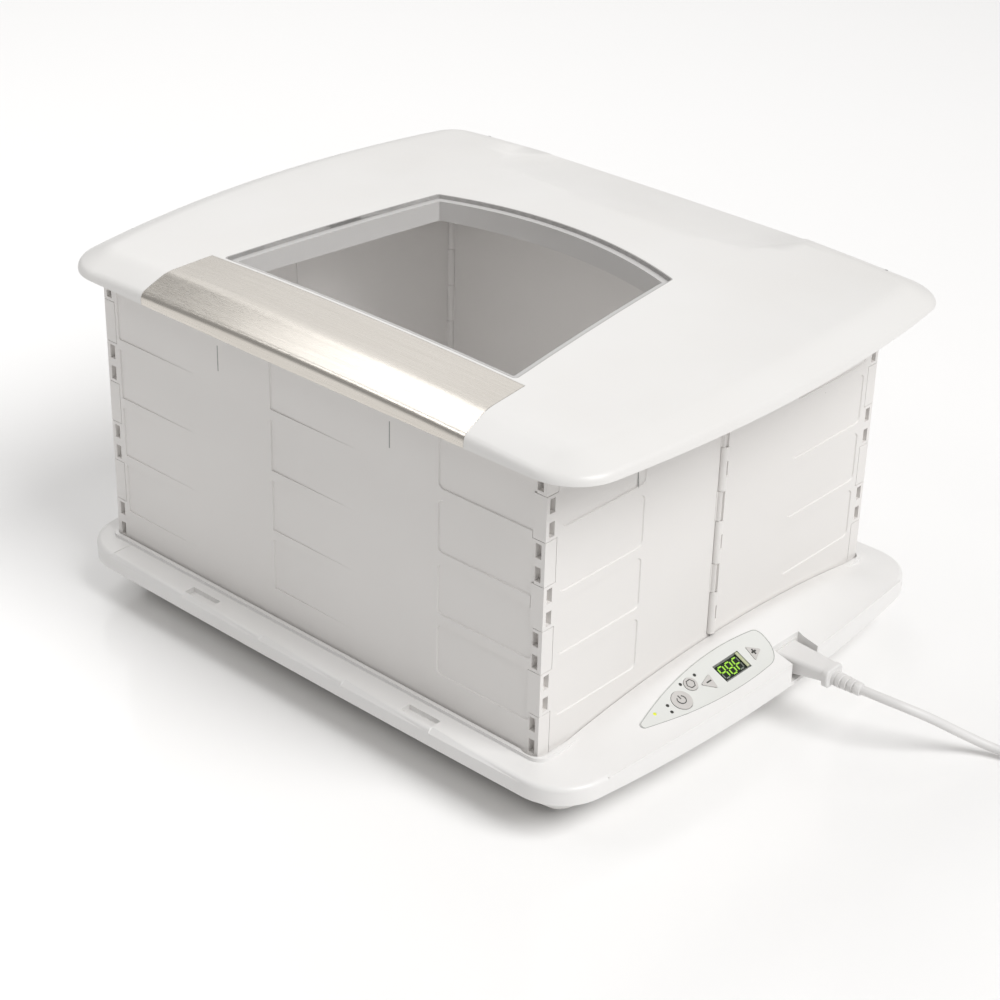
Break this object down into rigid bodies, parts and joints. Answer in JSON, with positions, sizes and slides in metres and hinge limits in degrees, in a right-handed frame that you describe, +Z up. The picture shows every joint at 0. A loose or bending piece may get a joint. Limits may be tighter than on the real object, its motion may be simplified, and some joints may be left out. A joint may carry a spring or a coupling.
{
  "type": "folding dough proofer",
  "caption": "White folding proofing box: heated base with a control ledge, hinged walls that fold flat, a lift-off domed lid with a window and steel edge, a rack and a water tray.",
  "frame": {"origin": "centre of the footprint of base and lid, on the table under the rubber feet", "axes": "+X towards the control ledge, -Y towards the front with the steel handle strip, +Z up"},
  "size_m": [0.688, 0.3965, 0.2591],
  "materials": {
    "white_plastic": "smooth moulded",
    "wall_plastic": "fine moulded",
    "cover_plastic": "fine moulded",
    "panel_plastic": "printed film",
    "button_plastic": "satin",
    "black_plastic": "moulded",
    "digit_green": "lit",
    "indicator_plastic": "clear tinted",
    "board_green": "lacquered",
    "stainless": "brushed",
    "steel": "plated",
    "rack_chrome": "polished",
    "plate_aluminium": "satin",
    "element_rubber": "moulded",
    "insulation": "felt",
    "foot_rubber": "moulded",
    "gasket_rubber": "moulded",
    "window_glass": "clear",
    "lens_glass": "tinted",
    "cord_plastic": "soft",
    "brass": "plated"
  },
  "bodies": {
    "base": {"base_tray": "white_plastic", "bottom_cover": "cover_plastic", "rubber_feet": "foot_rubber", "cover_screws": "steel", "heater_plate": "plate_aluminium", "heating_element": "element_rubber", "insulation_pad": "insulation", "temperature_sensor": "steel", "thermal_fuse": "steel", "control_panel": "panel_plastic", "display_lens": "lens_glass", "display_module": "black_plastic", "display_digits": "digit_green", "indicator_leds": "indicator_plastic", "control_board": "board_green", "board_screws": "steel", "button_switches": "black_plastic", "power_inlet": "black_plastic", "inlet_pins": "brass", "cord_connector": "cord_plastic", "strain_relief": "cord_plastic", "power_cord": "cord_plastic", "cord_coil": "cord_plastic", "cord_tail": "cord_plastic", "coil_tie": "black_plastic", "mains_plug": "cord_plastic", "plug_blades": "brass"},
    "back_wall": {"back_panel": "wall_plastic", "back_right_pin": "steel", "back_left_pin": "steel"},
    "right_rear_wall": {"right_rear_panel": "wall_plastic", "right_middle_pin": "steel"},
    "right_front_wall": {"right_front_panel": "wall_plastic", "front_right_pin": "steel"},
    "front_wall": {"front_panel": "wall_plastic"},
    "left_rear_wall": {"left_rear_panel": "wall_plastic", "left_middle_pin": "steel"},
    "left_front_wall": {"left_front_panel": "wall_plastic", "front_left_pin": "steel"},
    "lid": {"lid_shell": "white_plastic", "steel_trim": "stainless", "lid_window": "window_glass", "window_gasket": "gasket_rubber", "lid_liner": "wall_plastic", "lid_screws": "steel"},
    "tray": {"water_tray": "stainless"},
    "rack": {"wire_rack": "rack_chrome"},
    "power_key": {"power_button": "button_plastic"},
    "mode_key": {"mode_button": "button_plastic"},
    "minus_key": {"minus_button": "button_plastic"},
    "plus_key": {"plus_button": "button_plastic"}
  },
  "joints": [
    {"name": "walls_lift", "type": "slide", "parent": "base", "child": "back_wall", "axis": [0, 0, 1], "range_m": [0, 0.25]},
    {"name": "wall_fold", "type": "hinge", "parent": "back_wall", "child": "right_rear_wall", "pos_m": [0.171, 0.15575, 0.15], "axis": [0, 0, -1], "range_deg": [0, 88]},
    {"name": "right_middle_fold", "type": "hinge", "parent": "right_rear_wall", "child": "right_front_wall", "pos_m": [0.1775, 0, 0.15], "axis": [0, 0, 1], "range_deg": [0, 176]},
    {"name": "front_wall_fold", "type": "hinge", "parent": "right_front_wall", "child": "front_wall", "pos_m": [0.171, -0.15575, 0.15], "axis": [0, 0, -1], "range_deg": [0, 88]},
    {"name": "left_rear_fold", "type": "hinge", "parent": "back_wall", "child": "left_rear_wall", "pos_m": [-0.1908, 0.15575, 0.15], "axis": [0, 0, 1], "range_deg": [0, 88]},
    {"name": "left_middle_fold", "type": "hinge", "parent": "left_rear_wall", "child": "left_front_wall", "pos_m": [-0.1973, 0, 0.15], "axis": [0, 0, -1], "range_deg": [0, 176]},
    {"name": "lid_lift", "type": "slide", "parent": "back_wall", "child": "lid", "axis": [0, 0, 1], "range_m": [0, 0.15]},
    {"name": "tray_lift", "type": "slide", "parent": "base", "child": "tray", "axis": [0, 0, 1], "range_m": [0, 0.1]},
    {"name": "rack_lift", "type": "slide", "parent": "tray", "child": "rack", "axis": [0, 0, 1], "range_m": [0, 0.09]},
    {"name": "power_press", "type": "slide", "parent": "base", "child": "power_key", "axis": [-0.4695, 0, -0.8829], "range_m": [0, 0.0006], "stiffness_N_per_m": 1500, "springref_m": -0.0004},
    {"name": "mode_press", "type": "slide", "parent": "base", "child": "mode_key", "axis": [-0.4695, 0, -0.8829], "range_m": [0, 0.0006], "stiffness_N_per_m": 1500, "springref_m": -0.0004},
    {"name": "minus_press", "type": "slide", "parent": "base", "child": "minus_key", "axis": [-0.4695, 0, -0.8829], "range_m": [0, 0.0006], "stiffness_N_per_m": 1500, "springref_m": -0.0004},
    {"name": "plus_press", "type": "slide", "parent": "base", "child": "plus_key", "axis": [-0.4695, 0, -0.8829], "range_m": [0, 0.0006], "stiffness_N_per_m": 1500, "springref_m": -0.0004}
  ],
  "couplings": [
    {"joint": "right_middle_fold", "follows": "wall_fold", "ratio": 2},
    {"joint": "front_wall_fold", "follows": "wall_fold", "ratio": 1},
    {"joint": "left_rear_fold", "follows": "wall_fold", "ratio": 1},
    {"joint": "left_middle_fold", "follows": "wall_fold", "ratio": 2}
  ]
}
